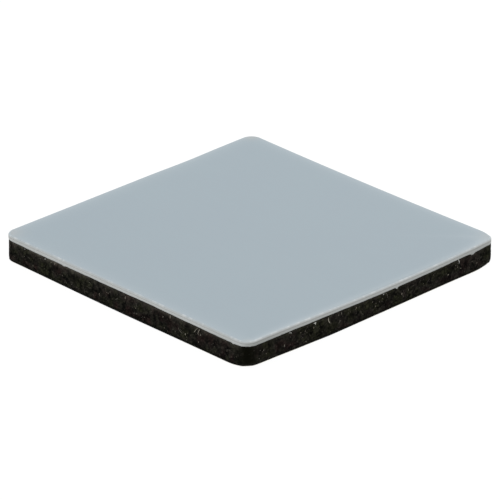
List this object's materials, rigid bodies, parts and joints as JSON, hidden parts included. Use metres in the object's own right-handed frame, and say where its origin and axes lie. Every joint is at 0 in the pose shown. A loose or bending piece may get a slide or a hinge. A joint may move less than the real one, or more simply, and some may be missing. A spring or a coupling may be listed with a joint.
{
  "type": "furniture slider",
  "caption": "Square self-adhesive furniture slider: PTFE glide plate bonded to a rubber pad, with mounting tape under a split peel-off liner.",
  "frame": {"origin": "centre of the square on the underside of the release liner, the face that lies on a table and ends up against the furniture leg", "axes": "+Z out of the glide face; X and Y along the sides of the square, with the slit of the liner along Y"},
  "size_m": [0.06, 0.06, 0.005],
  "materials": {
    "ptfe": "satin",
    "contact_adhesive": "satin",
    "rubber": "matte",
    "tape_adhesive": "gloss",
    "tape_film": "satin",
    "liner_paper": "satin"
  },
  "bodies": {
    "pad": {"glide_plate": "ptfe", "plate_bond": "contact_adhesive", "rubber_pad": "rubber", "tape_inner_adhesive": "tape_adhesive", "tape_carrier": "tape_film", "tape_outer_adhesive": "tape_adhesive"},
    "left_leaf": {"liner_left_leaf": "liner_paper"},
    "right_leaf": {"liner_right_leaf": "liner_paper"}
  },
  "joints": [
    {"name": "left_leaf_peel", "type": "hinge", "parent": "pad", "child": "left_leaf", "pos_m": [-0.03, 0, 0.0001], "axis": [0, 1, 0], "range_deg": [0, 180]},
    {"name": "right_leaf_peel", "type": "hinge", "parent": "pad", "child": "right_leaf", "pos_m": [0.03, 0, 0.0001], "axis": [0, -1, 0], "range_deg": [0, 180]}
  ]
}
